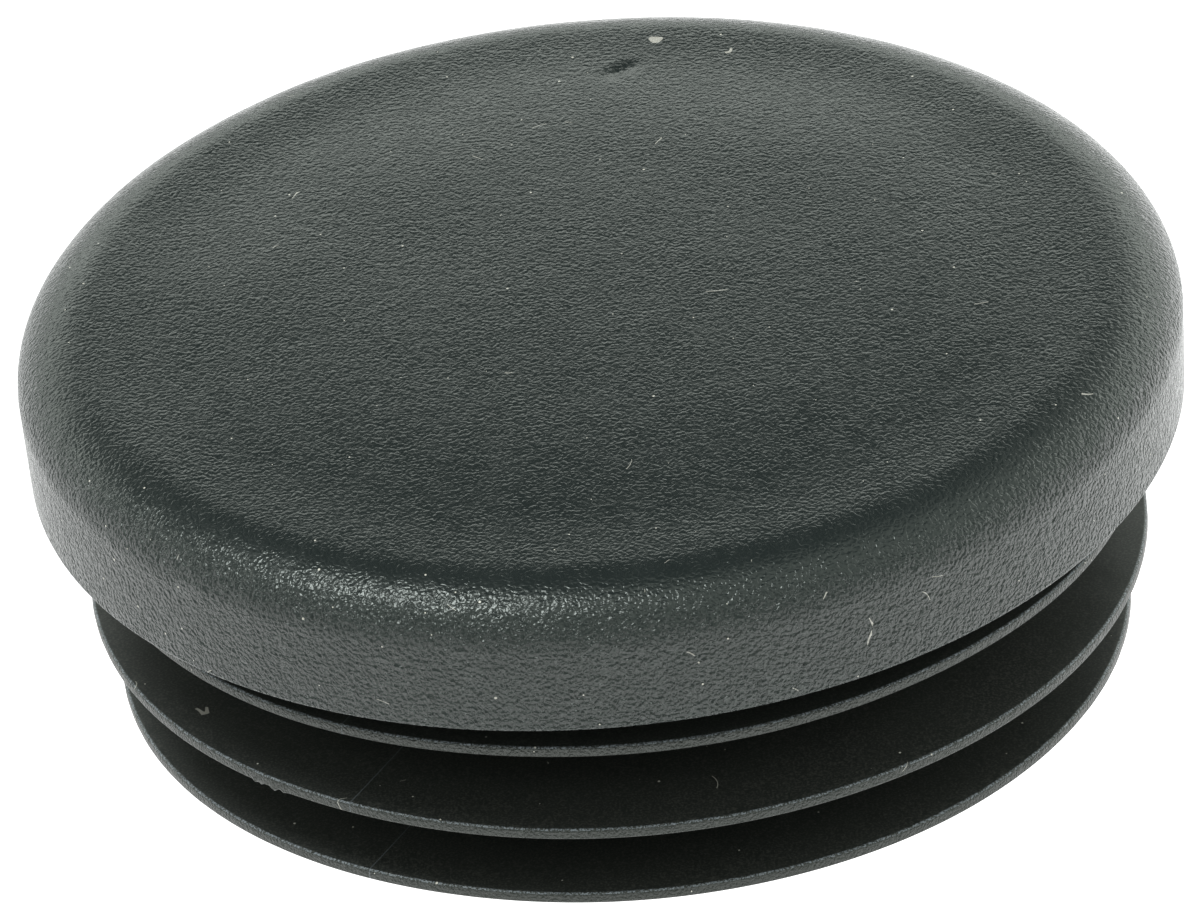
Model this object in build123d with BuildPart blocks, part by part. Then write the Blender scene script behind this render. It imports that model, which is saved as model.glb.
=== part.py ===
"""Ribbed insert that closes the end of a round tube.

The insert is one polyethylene moulding, split here at its functional features: a grained head,
a hollow barrel, three grip fins, a stiffening cross inside the barrel and the gate's vestige.
Origin: centre of the head's underside, where the tube's end seats. +Z points up through the head.
All lengths are in millimetres.
"""
from build123d import *
import os

# Head
HEAD_R = 25.0              # widest radius, at the top of the side wall
HEAD_FOOT_R = 24.85        # radius of the side wall at the underside
HEAD_EDGE_R = 0.2          # rounding between side wall and underside
SIDE_TOP_Z = 3.85          # where the side wall turns into the rounded shoulder
RIM_R = 21.7               # where the crown ends and the shoulder starts
RIM_Z = 6.25
SINK_R = 17.25             # ring above the barrel wall where the crown falls most steeply
SINK_Z = 6.41
CROWN_R = 10.0             # edge of the crown's flatter middle
CROWN_EDGE_Z = 6.71
CROWN_Z = 6.82             # middle of the crown
HEAD_WALL = 3.0            # thickness of the head at the sink ring

# Barrel
BARREL_R = 17.4
BARREL_WALL = 1.8
BARREL_END_Z = -11.8
BARREL_LEAD_IN = 0.5       # rounding of the open end's outer edge
BARREL_MOUTH_R = 0.3       # rounding of the open end's inner edge

# Grip fins
FIN_R = 22.85              # upper and middle fins
FIN_LOWER_R = 21.9         # lead-in fin
FIN_TIP = 0.5              # thickness at the tip
FIN_ROOT = 0.84            # thickness at the barrel
FIN_EDGE_R = 0.1           # rounding of the tip's two edges
FIN_TOP_Z = {"fin_upper": -2.2, "fin_middle": -6.13, "fin_lower": -10.1}

# Stiffening cross and gate
WEB = 1.1                  # thickness of each web
WEB_END_Z = -7.5           # lower edge of the webs
WEB_CORNER_R = 0.6         # fillet between web and boss
WEB_EDGE_R = 0.25          # rounding of the webs' and the boss's lower edges
BOSS_R = 2.4
BOSS_DROP = 0.6            # how far the boss stands below the webs
GATE_R = 0.9
GATE_H = 0.7
GATE_TAPER = 8             # degrees

BORE_R = BARREL_R - BARREL_WALL
POCKET_Z = SINK_Z - HEAD_WALL
BOSS_END_Z = WEB_END_Z - BOSS_DROP


def save(part, name):
    part.label = name
    export_step(part, f"parts/{name}.step")


def make_head():
    """Turned cap with a round pocket that takes the top of the barrel."""
    with BuildPart() as head:
        with BuildSketch(Plane.XZ):
            with BuildLine():
                Spline(
                    (0, CROWN_Z), (CROWN_R, CROWN_EDGE_Z), (SINK_R, SINK_Z), (RIM_R, RIM_Z),
                    tangents=[(1, 0), (1, 0)],
                )
                EllipticalCenterArc(
                    (RIM_R, SIDE_TOP_Z), HEAD_R - RIM_R, RIM_Z - SIDE_TOP_Z,
                    start_angle=0, arc_size=90,
                )
                Polyline(
                    (HEAD_R, SIDE_TOP_Z), (HEAD_FOOT_R, 0), (BARREL_R, 0),
                    (BARREL_R, POCKET_Z), (0, POCKET_Z), (0, CROWN_Z),
                )
            make_face()
        revolve(axis=Axis.Z)
        foot_edges = head.edges().filter_by(GeomType.CIRCLE).filter_by_position(Axis.Z, 0, 0)
        fillet(foot_edges.sort_by(SortBy.RADIUS)[-1], radius=HEAD_EDGE_R)
    return head.part


def make_barrel():
    """Straight hollow wall from the head's pocket down to a rounded open end."""
    with BuildPart() as barrel:
        with BuildSketch(Plane.XY.offset(BARREL_END_Z)):
            Circle(BARREL_R)
            Circle(BORE_R, mode=Mode.SUBTRACT)
        extrude(amount=POCKET_Z - BARREL_END_Z)
        mouth = barrel.edges().group_by(Axis.Z)[0].sort_by(SortBy.RADIUS)
        fillet(mouth[-1], radius=BARREL_LEAD_IN)
        mouth = barrel.edges().group_by(Axis.Z)[0].sort_by(SortBy.RADIUS)
        fillet(mouth[0], radius=BARREL_MOUTH_R)
    return barrel.part


def make_fin(tip_r, top_z):
    """Thin ring, thicker at the barrel than at the tip, with both tip edges rounded."""
    mid_z = top_z - FIN_TIP / 2
    with BuildPart() as fin:
        with BuildSketch(Plane.XZ):
            with BuildLine():
                Polyline(
                    (BARREL_R, mid_z + FIN_ROOT / 2), (tip_r, mid_z + FIN_TIP / 2),
                    (tip_r, mid_z - FIN_TIP / 2), (BARREL_R, mid_z - FIN_ROOT / 2),
                    close=True,
                )
            make_face()
        revolve(axis=Axis.Z)
        fillet(fin.edges().filter_by(GeomType.CIRCLE).sort_by(SortBy.RADIUS)[-2:], radius=FIN_EDGE_R)
    return fin.part


def make_cross():
    """Two webs across the bore, joined by a round boss that hangs a little below them."""
    with BuildPart() as cross:
        with BuildSketch(Plane.XY.offset(WEB_END_Z)):
            Rectangle(2 * BARREL_R, WEB)
            Rectangle(WEB, 2 * BARREL_R)
            Circle(BOSS_R)
            fillet(vertices().group_by(SortBy.DISTANCE)[0], radius=WEB_CORNER_R)
            Circle(BORE_R, mode=Mode.INTERSECT)
        extrude(amount=POCKET_Z - WEB_END_Z)
        fillet(cross.edges().group_by(Axis.Z)[0].filter_by(GeomType.LINE), radius=WEB_EDGE_R)
        with BuildSketch(Plane.XY.offset(BOSS_END_Z)):
            Circle(BOSS_R)
        extrude(amount=POCKET_Z - BOSS_END_Z)
        fillet(cross.edges().group_by(Axis.Z)[0], radius=WEB_EDGE_R)
    return cross.part


def make_gate():
    """Broken-off stub where the plastic was injected."""
    with BuildPart() as gate:
        with BuildSketch(Plane.XY.offset(BOSS_END_Z)):
            Circle(GATE_R)
        extrude(amount=-GATE_H, taper=GATE_TAPER)
    return gate.part


os.makedirs("parts", exist_ok=True)
save(make_head(), "head_cap")
save(make_barrel(), "barrel")
for fin_name, fin_top_z in FIN_TOP_Z.items():
    save(make_fin(FIN_LOWER_R if fin_name == "fin_lower" else FIN_R, fin_top_z), fin_name)
save(make_cross(), "stiffening_cross")
save(make_gate(), "gate_nub")
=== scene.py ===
"""Ribbed tube insert in black polyethylene: grained head, smooth fins and barrel, on a pale floor."""

import math

import bpy
from mathutils import Matrix, Vector, noise


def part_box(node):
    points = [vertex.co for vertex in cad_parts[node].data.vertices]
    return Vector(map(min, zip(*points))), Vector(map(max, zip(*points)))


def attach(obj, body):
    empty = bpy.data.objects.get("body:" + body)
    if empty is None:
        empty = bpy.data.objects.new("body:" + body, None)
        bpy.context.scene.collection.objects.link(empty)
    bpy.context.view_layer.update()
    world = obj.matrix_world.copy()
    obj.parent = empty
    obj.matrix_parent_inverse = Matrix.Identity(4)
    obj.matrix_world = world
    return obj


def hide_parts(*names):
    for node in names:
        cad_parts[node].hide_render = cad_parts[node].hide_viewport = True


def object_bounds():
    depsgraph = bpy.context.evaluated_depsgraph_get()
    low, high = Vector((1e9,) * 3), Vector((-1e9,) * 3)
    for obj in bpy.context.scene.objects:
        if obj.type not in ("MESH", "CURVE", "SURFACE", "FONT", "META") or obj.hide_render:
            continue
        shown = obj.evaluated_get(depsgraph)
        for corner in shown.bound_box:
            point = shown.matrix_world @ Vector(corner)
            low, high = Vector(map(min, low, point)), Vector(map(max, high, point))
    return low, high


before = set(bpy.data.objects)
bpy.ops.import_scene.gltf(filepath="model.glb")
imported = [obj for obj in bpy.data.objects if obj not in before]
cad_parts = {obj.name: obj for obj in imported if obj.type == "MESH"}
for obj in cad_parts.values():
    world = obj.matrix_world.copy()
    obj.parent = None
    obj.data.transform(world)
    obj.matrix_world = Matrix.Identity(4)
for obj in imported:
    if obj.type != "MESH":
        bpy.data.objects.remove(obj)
cad_low, cad_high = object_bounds()

MM = 0.001

# Camera
CAMERA_DISTANCE = 600 * MM
CAMERA_ELEVATION = math.radians(31.635)
CAMERA_ROLL = math.radians(-5.361)
CAMERA_LENS = 419.4
CAMERA_SENSOR = 36
CAMERA_NEAR = 10 * MM
CAMERA_AIM = Vector((-0.48, -1.09, -1.76)) * MM

# Head. The crown's slopes are (share of the head's radius, slope), steepest at the sink ring.
CROWN_SLOPES = [(0, 0), (0.40, -0.022), (0.69, -0.060), (0.835, -0.018), (0.8735, -0.030)]
SHOULDER_RATIO = 0.868        # where the shoulder starts, as a share of the head's radius
SHOULDER_Z = 6.25 * MM
SIDE_TOP_Z = 3.85 * MM
HEAD_DRAFT = 0.15 * MM        # how much narrower the side wall is at the foot
HEAD_EDGE = 0.2 * MM          # rounding of the foot
BARREL_WALL = 1.8 * MM
POCKET_FILLET = 0.4 * MM
HEAD_STEPS = 480              # steps round the axis
CROWN_ROWS = 88
SHOULDER_ROWS = 30
SIDE_ROWS = 12
UNDERSIDE_ROWS = 10
CEILING_ROWS = 16
ROUNDING_ROWS = 7

# Fins
FIN_TIP = 0.5 * MM            # thickness at the tip
FIN_UPPER_EDGE = 0.16 * MM
FIN_LOWER_EDGE = 0.08 * MM
FIN_FILLET = 0.35 * MM
FIN_INSIDE = 0.5 * MM         # how far each ring reaches into the barrel's wall
FIN_STEPS = 900
FIN_FACE_ROWS = 9
FIN_ROUNDING_ROWS = 6
FIN_LOWER_EDGE_ROWS = 4
FIN_SEED_STEP = 50 * MM       # sets each fin's unevenness apart from the next one's

# Small faults of this casting
FOOT_LEAN = 0.0095            # the head's lower edge: rise per unit of X
FOOT_DROP = 0.08 * MM
FOOT_FROM_R = 18 * MM         # the lean grows between these radii, and ends at this height
FOOT_FULL_R = 24 * MM
FOOT_END_Z = 3 * MM
HEAD_WAVES = [(7 * MM, 0.03 * MM), (2.6 * MM, 0.006 * MM)]  # (length, height)
WAVES_FROM_Z = 2 * MM
WAVES_FROM_R = 0.5 * MM
NICK_AT = Vector((1.98, 18.04)) * MM
NICK_ALONG = Vector((0.78, 0.63))
NICK_LENGTH = 0.75 * MM
NICK_WIDTH = 0.3 * MM
NICK_DEPTH = 0.16 * MM
FIN_SAG = {"fin_upper": 0.0, "fin_middle": 0.30 * MM, "fin_lower": 0.15 * MM}
SAG_FROM_X = -16 * MM
SAG_FULL_X = 8 * MM
FIN_WAVE_LENGTH = 14 * MM
FIN_WAVE = 0.10 * MM
FIN_ROUGH_LENGTH = 0.9 * MM
FIN_ROUGH = 0.012 * MM
FIN_ROUGH_RISE = 0.6          # share of the tip's roughness that is also up and down
BURR_NODE = "fin_middle"      # torn flash on its tip's lower edge
BURR_AT = Vector((-15.75, -16.55)) * MM
BURR_SPREAD = 1.0 * MM
BURR_LENGTH = 0.3 * MM
BURR_SIZE = 0.3 * MM
BURR_LIFT = 0.3               # added to the noise, so that more of the edge is torn
BURR_OUT = 0.3                # share of the burr that also stands out sideways

# Light: glows as (azimuth, elevation, full within, nothing beyond, strength), angles in degrees
WORLD_TINT = (0.95, 1.0, 0.95)
WORLD_BASE = 0.03
GLOWS = [
    (-50, 55, 10, 48, 1.0),
    (50, 50, 10, 48, 0.9),
    (110, 18, 15, 55, 0.8),
    (-110, 20, 15, 55, 0.3),
    (0, 15, 15, 50, 0.1),
]
SHEETS = [(18.5, 32, 2.02), (5, 13, -1.8)]  # even up to the first elevation, gone at the second, strength
SHEET_IN_FRONT = 0.1          # the sheets' share towards the camera
SHEET_FROM_Y = -0.1           # the share grows to 1 between these Y of the direction
SHEET_FULL_Y = 0.55
KEY_POWER = 3.3
KEY_TINT = (0.95, 0.97, 1.0)
KEY_AZIMUTH = -72
KEY_ELEVATION = 66
KEY_DISTANCE = 800 * MM
KEY_SIZE = 250 * MM

# Floor, glowing with painted light of its own, which fades into painted shade towards the camera and grows
# from left to right
FLOOR_HALF = 2000 * MM
FLOOR_GAP = 0.02 * MM
FLOOR_COLOUR = (0.3, 0.3, 0.3)
FLOOR_ROUGHNESS = 0.7
FLOOR_LIT = 1.40
FLOOR_DIM = 0.35
FLOOR_LIT_Y = -42 * MM
FLOOR_DIM_Y = -150 * MM
FLOOR_TILT_X = 40 * MM
FLOOR_LEFT = 0.84
FLOOR_RIGHT = 1.22

# Plastic
HEAD_SLOT = "grained_polyethylene"
SMOOTH_SLOT = "smooth_polyethylene"
HEAD_COLOUR = (0.0150, 0.0200, 0.0195)
SMOOTH_COLOUR = (0.0210, 0.0235, 0.0215)
SHEEN_TINT = (0.93, 1.0, 0.93)
PLASTIC_IOR = 1.5
HEAD_ROUGHNESS = 0.22
SMOOTH_ROUGHNESS = 0.34
GLOSS_PATCH = 1.5 * MM
GLOSS_NOISE = (0.3, 0.7)
GLOSS_DROP = 0.03             # how far the roughness strays below and above its middle
GLOSS_RISE = 0.05
GRAIN_SIZE = 0.18 * MM
GRAIN_DEPTH = 0.034 * MM
GRAIN_SIDE_DEPTH = 0.26 * MM
SAND_SIZE = 0.12 * MM
SAND_DEPTH = 0.004 * MM
SAND_SIDE_DEPTH = 0.13 * MM
UPRIGHT = 0.2                 # upward share of the normal on walls, and on level faces
LEVEL = 0.95
CREASE_LENGTH = 1.5           # in grain sizes
CREASE_WIDTH = 0.12
CREASE_SHARE = 0.2
PEBBLE_SHARE = 0.7
BROAD_LENGTH = 4              # in grain sizes
BROAD_SHARE = 0.4

# Dust and lint
DUST_COLOUR = (0.38, 0.37, 0.33)
SPECK_SPACING = 1.1 * MM
SPECK_R = 0.06 * MM
SPECK_LEAST_R = 0.025 * MM
SPECK_COLOUR = (0.62, 0.60, 0.53)
LINT_CURL = 2.2 * MM
LINT_WIDTH = 0.0045
LINT_PATCH = 1.3 * MM
LINT_RARITY = 0.785
CRUMB_AT = Vector((3.65, 20.53, 6.27)) * MM
CRUMB_R = 0.38 * MM
CRUMB_REACH = 1.35            # in crumb radii, before its outline is broken up
HAZE_SIZE = 0.1 * MM
HAZE = 0.14
HAZE_NOISE = (0.45, 0.75)
HAZE_UPWARD = (0.4, 0.95)

# Marks on the fins: where the mould's two halves met, and a painted highlight along the upper edge of the
# tips
PARTING_TURN = math.radians(-32.5)
PARTING_WIDTH = 0.05 * MM
PARTING_FROM_R = 17.5 * MM
PARTING = 0.35
# Painted highlight on the fins' upper tip edges: its strength, where it lies, and its speckle. Its colour
# also draws the parting line.
EDGE_HIGHLIGHT = 0.9
HIGHLIGHT_AND_PARTING_COLOUR = (0.20, 0.225, 0.25)
EDGE_HIGHLIGHT_FROM_R = 21.5 * MM
EDGE_HIGHLIGHT_SPECKLE = 0.08 * MM
EDGE_HIGHLIGHT_STARTS = (0.45, 0.6)     # upward share of the normal
EDGE_HIGHLIGHT_ENDS = (0.9, 0.98)
EDGE_HIGHLIGHT_NOISE = (0.42, 0.62)


def eased_slope(ratio):
    """Slope of the head's top at a share of its radius, eased between the listed ones."""
    for (r0, m0), (r1, m1) in zip(CROWN_SLOPES, CROWN_SLOPES[1:]):
        if ratio <= r1:
            break
    t = (ratio - r0) / (r1 - r0)
    return m0 + (m1 - m0) * t * t * (3 - 2 * t)


def crown_outline(wide, end_r, end_z):
    """Points from the crown's middle to the shoulder, found by adding slopes from the shoulder in."""
    step = end_r / CROWN_ROWS
    points = []
    height = end_z
    for i in range(CROWN_ROWS, 0, -1):
        height -= eased_slope((i - 0.5) * step / wide) * step
        points.append(((i - 1) * step, height))
    return points[::-1]


def arc(centre, radii, start, stop, count):
    """Points on an ellipse, from start to stop degrees, both included."""
    angles = [math.radians(start + (stop - start) * i / (count - 1)) for i in range(count)]
    return [(centre[0] + radii[0] * math.cos(a), centre[1] + radii[1] * math.sin(a)) for a in angles]


def line(start, stop, count):
    """Points between two ends, leaving both ends out."""
    steps = [i / (count + 1) for i in range(1, count + 1)]
    return [(start[0] + (stop[0] - start[0]) * t, start[1] + (stop[1] - start[1]) * t) for t in steps]


def turned(name, outline, steps, shift):
    """Closed mesh turned about Z from an outline of (radius, height); shift moves each point a little."""
    points = []
    rings = []
    for radius, height in outline:
        if radius == 0:
            rings.append([len(points)] * steps)
            points.append(Vector((0, 0, height)))
            continue
        rings.append(range(len(points), len(points) + steps))
        for i in range(steps):
            angle = math.tau * i / steps
            points.append(Vector((radius * math.cos(angle), radius * math.sin(angle), height)))
    pairs = list(zip(rings, rings[1:]))
    if outline[0][0] > 0:
        pairs.append((rings[-1], rings[0]))
    faces = []
    for upper, lower in pairs:
        for i in range(steps):
            j = (i + 1) % steps
            corners = [upper[i], lower[i], lower[j], upper[j]]
            faces.append(list(dict.fromkeys(corners)))
    mesh = bpy.data.meshes.new(name)
    mesh.from_pydata([shift(point) for point in points], [], faces)
    mesh.validate()
    mesh.shade_smooth()
    piece = bpy.data.objects.new(name, mesh)
    bpy.context.scene.collection.objects.link(piece)
    return piece


def head_outline():
    """Crown, rounded shoulder, drafted side, underside, and the ceiling inside the barrel."""
    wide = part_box("head_cap")[1].x
    barrel_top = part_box("barrel")[1]
    shoulder = (wide - SHOULDER_RATIO * wide, SHOULDER_Z - SIDE_TOP_Z)
    turn_in = math.degrees(math.atan2(shoulder[1], -CROWN_SLOPES[-1][1] * shoulder[0]))
    round_off = arc((wide - shoulder[0], SIDE_TOP_Z), shoulder, turn_in, 0, SHOULDER_ROWS)
    outline = crown_outline(wide, *round_off[0]) + round_off
    foot = wide - HEAD_DRAFT
    outline += line((wide, SIDE_TOP_Z), (foot, HEAD_EDGE), SIDE_ROWS)
    outline += arc((foot - HEAD_EDGE, HEAD_EDGE), (HEAD_EDGE, HEAD_EDGE), 0, -90, ROUNDING_ROWS)
    fillet = POCKET_FILLET
    outer = barrel_top.x
    bore = outer - BARREL_WALL
    outline += line((foot - HEAD_EDGE, 0), (outer + fillet, 0), UNDERSIDE_ROWS)
    outline += arc((outer + fillet, -fillet), (fillet, fillet), 90, 180, ROUNDING_ROWS)
    inside = (outer + bore) / 2
    ceiling = barrel_top.z
    outline += [(inside, -fillet), (inside, ceiling - fillet)]
    outline += arc((bore - fillet, ceiling - fillet), (fillet, fillet), 0, 90, ROUNDING_ROWS)
    return outline + line((bore - fillet, ceiling), (0, ceiling), CEILING_ROWS) + [(0, ceiling)]


def eased(value, low, high):
    """0 below low, 1 above high, smooth between."""
    t = min(1.0, max(0.0, (value - low) / (high - low)))
    return t * t * (3 - 2 * t)


def warp_head(point):
    """Slow unevenness of a thick moulding, a foot that isn't quite level, and a nick at the far side."""
    radius = point.xy.length
    foot = eased(radius, FOOT_FROM_R, FOOT_FULL_R) * (1 - eased(point.z, 0, FOOT_END_Z))
    lift = foot * (FOOT_LEAN * point.x - FOOT_DROP)
    if point.z > WAVES_FROM_Z and radius > WAVES_FROM_R:
        for length, height in HEAD_WAVES:
            lift += noise.noise(point / length) * height
        offset = point.xy - NICK_AT
        along = offset.dot(NICK_ALONG) / NICK_LENGTH
        across = offset.cross(NICK_ALONG) / NICK_WIDTH
        lift -= NICK_DEPTH * math.exp(-(along**2) - across**2)
    return point + Vector((0, 0, lift))


def fin_outline(node):
    """Thin tapered ring with rounded tip edges and a fillet against the barrel on each side."""
    low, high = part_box(node)
    root_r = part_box("barrel")[1].x
    middle = (low.z + high.z) / 2
    root = (high.z - low.z) / 2
    tip = FIN_TIP / 2
    inside = root_r - FIN_INSIDE
    fillet = FIN_FILLET
    upper = FIN_UPPER_EDGE
    lower = FIN_LOWER_EDGE
    outline = [(inside, middle + root + fillet)]
    outline += arc((root_r + fillet, middle + root + fillet), (fillet, fillet), 180, 270, FIN_ROUNDING_ROWS)
    outline += line((root_r + fillet, middle + root), (high.x - upper, middle + tip), FIN_FACE_ROWS)
    outline += arc((high.x - upper, middle + tip - upper), (upper, upper), 90, 0, FIN_ROUNDING_ROWS)
    outline += arc((high.x - lower, middle - tip + lower), (lower, lower), 0, -90, FIN_LOWER_EDGE_ROWS)
    outline += line((high.x - lower, middle - tip), (root_r + fillet, middle - root), FIN_FACE_ROWS)
    outline += arc((root_r + fillet, middle - root - fillet), (fillet, fillet), 90, 180, FIN_ROUNDING_ROWS)
    return outline + [(inside, middle - root - fillet)]


def warp_fin(point, node, root_r, tip_r, middle, seed):
    """Thin fins leave the mould a little wavy and drooping, with a rough parting edge."""
    reach = max(0.0, (point.xy.length - root_r) / (tip_r - root_r))
    spot = point + Vector((0, 0, seed))
    rise = noise.noise(spot / FIN_WAVE_LENGTH) * FIN_WAVE * reach**2
    rise -= FIN_SAG[node] * reach * eased(point.x, SAG_FROM_X, SAG_FULL_X)
    rough = noise.noise(spot / FIN_ROUGH_LENGTH) * FIN_ROUGH * reach**6
    rise += FIN_ROUGH_RISE * rough
    if node == BURR_NODE and point.z < middle:
        near = math.exp(-(((point.xy - BURR_AT).length / BURR_SPREAD) ** 2))
        torn = max(0.0, noise.noise(spot / BURR_LENGTH) + BURR_LIFT) * near * BURR_SIZE * reach**12
        rise -= torn
        rough += BURR_OUT * torn
    out = point.xy.normalized() * rough
    return point + Vector((out.x, out.y, rise))


def add_node(tree, kind, inputs=None, **settings):
    """Shader node with its settings, and with each input either linked or given a value."""
    node = tree.nodes.new(kind)
    for name, value in settings.items():
        setattr(node, name, value)
    for key, value in (inputs or {}).items():
        if isinstance(value, bpy.types.NodeSocket):
            tree.links.new(value, node.inputs[key])
        else:
            node.inputs[key].default_value = value
    return node


def noise_value(tree, place, size, detail, roughness=0.5):
    """Noise whose blobs are about size metres apart."""
    inputs = {"Vector": place, "Scale": 1 / size, "Detail": detail, "Roughness": roughness}
    return add_node(tree, "ShaderNodeTexNoise", inputs).outputs["Fac"]


def ramp(tree, value, low, high, to_low=0.0, to_high=1.0, kind="LINEAR"):
    """Value between low and high, mapped to between to_low and to_high."""
    inputs = {"Value": value, "From Min": low, "From Max": high, "To Min": to_low, "To Max": to_high}
    return add_node(tree, "ShaderNodeMapRange", inputs, interpolation_type=kind).outputs["Result"]


def math_node(tree, operation, first, second=0.0, third=0.0):
    inputs = {0: first, 1: second, 2: third}
    return add_node(tree, "ShaderNodeMath", inputs, operation=operation).outputs[0]


def product(tree, *values):
    """All the values multiplied together."""
    total = values[0]
    for value in values[1:]:
        total = math_node(tree, "MULTIPLY", total, value)
    return total


def vector_math(tree, operation, first, second, output):
    inputs = {0: first, 1: second}
    return add_node(tree, "ShaderNodeVectorMath", inputs, operation=operation).outputs[output]


def mixed(tree, share, colour, other):
    """The first colour with a share of another one over it."""
    inputs = {"Fac": share, "Color1": colour, "Color2": (*other, 1)}
    return add_node(tree, "ShaderNodeMixRGB", inputs).outputs[0]


def axis_distance(tree, place):
    """Distance from the Z axis."""
    flat = vector_math(tree, "MULTIPLY", place, (1, 1, 0), "Vector")
    return vector_math(tree, "LENGTH", flat, (0, 0, 0), "Value")


def direction(azimuth, elevation):
    """Unit vector away from the object; azimuth 0 is the camera's side, positive to the right."""
    a, e = math.radians(azimuth), math.radians(elevation)
    return Vector((math.sin(a) * math.cos(e), -math.cos(a) * math.cos(e), math.sin(e)))


def grain_height(tree, place, size):
    """Leather grain: soft pebbles crossed by narrow creases, over a slow unevenness."""
    folds = noise_value(tree, place, size * CREASE_LENGTH, 1.0, 0.4)
    off_fold = math_node(tree, "ABSOLUTE", math_node(tree, "SUBTRACT", folds, 0.5))
    creases = ramp(tree, off_fold, 0.0, CREASE_WIDTH, -CREASE_SHARE, 0.0, "SMOOTHSTEP")
    pebbles = product(tree, noise_value(tree, place, size, 0.5, 0.4), PEBBLE_SHARE)
    broad = product(tree, noise_value(tree, place, size * BROAD_LENGTH, 1.0), BROAD_SHARE)
    return math_node(tree, "ADD", math_node(tree, "ADD", creases, pebbles), broad)


def speck_mask(tree, place):
    """Sparse round specks of dust."""
    inputs = {"Vector": place, "Scale": 1 / SPECK_SPACING}
    cells = add_node(tree, "ShaderNodeTexVoronoi", inputs)
    least = SPECK_LEAST_R / SPECK_SPACING
    most = SPECK_R / SPECK_SPACING
    reach = ramp(tree, cells.outputs["Color"], 0.0, 1.0, least, most)
    return math_node(tree, "LESS_THAN", cells.outputs["Distance"], reach)


def lint_mask(tree, place):
    """A few short curved threads of lint, and one crumb at the far side of the head."""
    path = math_node(tree, "SUBTRACT", noise_value(tree, place, LINT_CURL, 0.0), 0.5)
    threads = math_node(tree, "LESS_THAN", math_node(tree, "ABSOLUTE", path), LINT_WIDTH)
    patches = math_node(tree, "GREATER_THAN", noise_value(tree, place, LINT_PATCH, 0.0), LINT_RARITY)
    away = vector_math(tree, "DISTANCE", place, CRUMB_AT, "Value")
    away = math_node(tree, "MULTIPLY_ADD", noise_value(tree, place, CRUMB_R, 1.0), CRUMB_R, away)
    crumb = math_node(tree, "LESS_THAN", away, CRUMB_REACH * CRUMB_R)
    return math_node(tree, "MAXIMUM", crumb, product(tree, threads, patches))


def haze_mask(tree, place, upward):
    """Fine dust that has settled on level faces."""
    haze = ramp(tree, noise_value(tree, place, HAZE_SIZE, 2.0), *HAZE_NOISE, 0.0, HAZE)
    return product(tree, haze, ramp(tree, upward, *HAZE_UPWARD))


def edge_highlight_mask(tree, place, upward):
    """Painted highlight: a speckled pale line where the fins' rounded upper tip edges turn from level to
    upright.
    """
    rising = ramp(tree, upward, *EDGE_HIGHLIGHT_STARTS)
    ending = ramp(tree, upward, *EDGE_HIGHLIGHT_ENDS, 1.0, 0.0)
    outermost = math_node(tree, "GREATER_THAN", axis_distance(tree, place), EDGE_HIGHLIGHT_FROM_R)
    speckle = ramp(tree, noise_value(tree, place, EDGE_HIGHLIGHT_SPECKLE, 1.0), *EDGE_HIGHLIGHT_NOISE)
    return product(tree, rising, ending, EDGE_HIGHLIGHT, outermost, speckle)


def parting_mask(tree, place):
    """Fine line down both sides of the fins, in one plane through the axis."""
    across = Vector((math.cos(PARTING_TURN), math.sin(PARTING_TURN), 0))
    away = math_node(tree, "ABSOLUTE", vector_math(tree, "DOT_PRODUCT", place, across, "Value"))
    near = math_node(tree, "LESS_THAN", away, PARTING_WIDTH / 2)
    outside = math_node(tree, "GREATER_THAN", axis_distance(tree, place), PARTING_FROM_R)
    return product(tree, near, outside, PARTING)


def plastic(name, base, roughness, grain_size, top_depth, side_depth, is_fin_plastic=False):
    """Black moulded polyethylene, with one depth of grain on level faces and another on upright ones."""
    material = bpy.data.materials.new(name)
    material.use_nodes = True
    tree = material.node_tree
    tree.nodes.clear()
    place = add_node(tree, "ShaderNodeTexCoord").outputs["Object"]
    facing = add_node(tree, "ShaderNodeNewGeometry").outputs["Normal"]
    upward = add_node(tree, "ShaderNodeSeparateXYZ", {0: facing}).outputs["Z"]
    depth = ramp(tree, math_node(tree, "ABSOLUTE", upward), UPRIGHT, LEVEL, side_depth, top_depth)
    relief = {"Height": grain_height(tree, place, grain_size), "Distance": depth, "Strength": 1.0}
    bump = add_node(tree, "ShaderNodeBump", relief).outputs["Normal"]
    colour = (*base, 1)
    if is_fin_plastic:
        colour = mixed(tree, haze_mask(tree, place, upward), colour, DUST_COLOUR)
        # Painted highlight along the fins' rounded upper tip edges
        colour = mixed(tree, edge_highlight_mask(tree, place, upward), colour, HIGHLIGHT_AND_PARTING_COLOUR)
        colour = mixed(tree, parting_mask(tree, place), colour, HIGHLIGHT_AND_PARTING_COLOUR)
    colour = mixed(tree, lint_mask(tree, place), colour, DUST_COLOUR)
    colour = mixed(tree, speck_mask(tree, place), colour, SPECK_COLOUR)
    gloss = noise_value(tree, place, GLOSS_PATCH, 3.0)
    inputs = {
        "Base Color": colour,
        "Normal": bump,
        "IOR": PLASTIC_IOR,
        "Specular Tint": (*SHEEN_TINT, 1),
        "Roughness": ramp(tree, gloss, *GLOSS_NOISE, roughness - GLOSS_DROP, roughness + GLOSS_RISE),
    }
    shader = add_node(tree, "ShaderNodeBsdfPrincipled", inputs)
    add_node(tree, "ShaderNodeOutputMaterial", {"Surface": shader.outputs["BSDF"]})
    return material


def place_piece(piece, node, material):
    """Dress a piece and let it stand for a CAD node."""
    piece.data.materials.append(material)
    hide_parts(node)
    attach(piece, "root")


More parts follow.
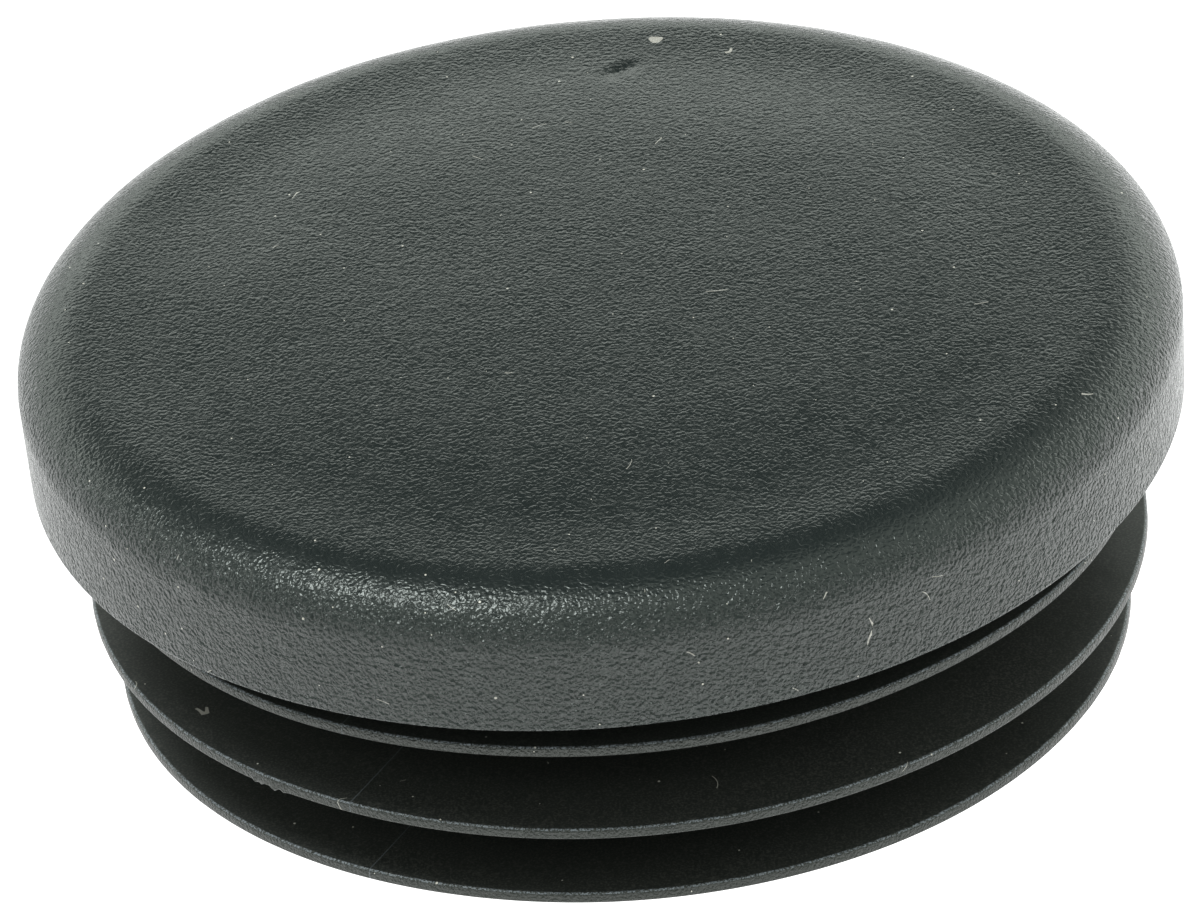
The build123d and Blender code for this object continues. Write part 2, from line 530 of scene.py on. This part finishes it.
def build_head():
    grained = plastic(
        HEAD_SLOT, HEAD_COLOUR, HEAD_ROUGHNESS, GRAIN_SIZE, GRAIN_DEPTH, GRAIN_SIDE_DEPTH
    )
    head = turned("grained_head", head_outline(), HEAD_STEPS, warp_head)
    place_piece(head, "head_cap", grained)


def build_fins(smooth):
    root_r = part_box("barrel")[1].x
    for index, node in enumerate(FIN_SAG):
        low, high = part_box(node)
        middle = (low.z + high.z) / 2
        seed = index * FIN_SEED_STEP
        fin = turned(
            node + "_ring", fin_outline(node), FIN_STEPS,
            lambda point: warp_fin(point, node, root_r, high.x, middle, seed),
        )
        place_piece(fin, node, smooth)


def build_insert():
    """Head and fins as finer pieces; barrel, cross and gate as they are, in the fins' plastic."""
    build_head()
    smooth = plastic(
        SMOOTH_SLOT, SMOOTH_COLOUR, SMOOTH_ROUGHNESS, SAND_SIZE, SAND_DEPTH, SAND_SIDE_DEPTH,
        is_fin_plastic=True,
    )
    build_fins(smooth)
    for node in ("barrel", "stiffening_cross", "gate_nub"):
        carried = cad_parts[node]
        carried.data.materials.clear()
        carried.data.materials.append(smooth)


def build_floor():
    mesh = bpy.data.meshes.new("floor")
    z = cad_low.z - FLOOR_GAP
    half = FLOOR_HALF
    corners = [(-half, -half, z), (half, -half, z), (half, half, z), (-half, half, z)]
    mesh.from_pydata(corners, [], [(0, 1, 2, 3)])
    floor = bpy.data.objects.new("floor", mesh)
    bpy.context.scene.collection.objects.link(floor)
    material = bpy.data.materials.new("pale_floor")
    material.use_nodes = True
    tree = material.node_tree
    shader = tree.nodes["Principled BSDF"]
    shader.inputs["Base Color"].default_value = (*FLOOR_COLOUR, 1)
    shader.inputs["Roughness"].default_value = FLOOR_ROUGHNESS
    shader.inputs["Emission Color"].default_value = (1, 1, 1, 1)
    place = add_node(tree, "ShaderNodeTexCoord").outputs["Object"]
    split = add_node(tree, "ShaderNodeSeparateXYZ", {0: place})
    # Painted light: the floor's own glow, dimmer towards the camera and brighter to the right
    glow = ramp(tree, split.outputs["Y"], FLOOR_DIM_Y, FLOOR_LIT_Y, FLOOR_DIM, FLOOR_LIT, "SMOOTHSTEP")
    share = ramp(tree, split.outputs["X"], -FLOOR_TILT_X, FLOOR_TILT_X, FLOOR_LEFT, FLOOR_RIGHT)
    tree.links.new(product(tree, glow, share), shader.inputs["Emission Strength"])
    mesh.materials.append(material)


def build_key():
    """Square softbox above and to the left, facing the object."""
    light = bpy.data.lights.new("key", "AREA")
    light.shape = "SQUARE"
    light.size = KEY_SIZE
    light.energy = KEY_POWER
    light.color = KEY_TINT
    lamp = bpy.data.objects.new("key", light)
    away = direction(KEY_AZIMUTH, KEY_ELEVATION)
    lamp.location = away * KEY_DISTANCE
    lamp.rotation_euler = away.to_track_quat("Z", "Y").to_euler()
    bpy.context.scene.collection.objects.link(lamp)


def build_surroundings():
    """Soft studio surroundings: broad glows, and a backdrop that is brightest a little above its foot."""
    world = bpy.data.worlds.new("studio")
    bpy.context.scene.world = world
    world.use_nodes = True
    tree = world.node_tree
    around = add_node(tree, "ShaderNodeTexCoord").outputs["Generated"]
    split = add_node(tree, "ShaderNodeSeparateXYZ", {0: around})
    total = WORLD_BASE
    for azimuth, elevation, near, far, strength in GLOWS:
        facing = vector_math(tree, "DOT_PRODUCT", around, direction(azimuth, elevation), "Value")
        edge, middle = math.cos(math.radians(far)), math.cos(math.radians(near))
        total = math_node(tree, "ADD", ramp(tree, facing, edge, middle, 0.0, strength), total)
    behind = ramp(tree, split.outputs["Y"], SHEET_FROM_Y, SHEET_FULL_Y, SHEET_IN_FRONT, 1.0)
    for low, high, strength in SHEETS:
        start, stop = math.sin(math.radians(low)), math.sin(math.radians(high))
        sheet = ramp(tree, split.outputs["Z"], start, stop, strength, 0.0)
        total = math_node(tree, "MULTIPLY_ADD", sheet, behind, total)
    background = tree.nodes["Background"]
    background.inputs["Color"].default_value = (*WORLD_TINT, 1)
    tree.links.new(total, background.inputs["Strength"])
    bpy.context.scene.view_settings.view_transform = "Standard"


def build_camera():
    camera = bpy.data.objects.new("camera", bpy.data.cameras.new("camera"))
    camera.data.lens = CAMERA_LENS
    camera.data.sensor_width = CAMERA_SENSOR
    camera.data.clip_start = CAMERA_NEAR
    back = Vector((0, -math.cos(CAMERA_ELEVATION), math.sin(CAMERA_ELEVATION)))
    eye = back * CAMERA_DISTANCE
    facing = (CAMERA_AIM - eye).to_track_quat("-Z", "Y").to_matrix()
    turn = Matrix.Rotation(CAMERA_ROLL, 3, "Z")
    camera.matrix_world = Matrix.Translation(eye) @ (facing @ turn).to_4x4()
    bpy.context.scene.collection.objects.link(camera)
    bpy.context.scene.camera = camera


build_insert()
build_floor()
build_surroundings()
build_key()
build_camera()
bpy.context.view_layer.update()
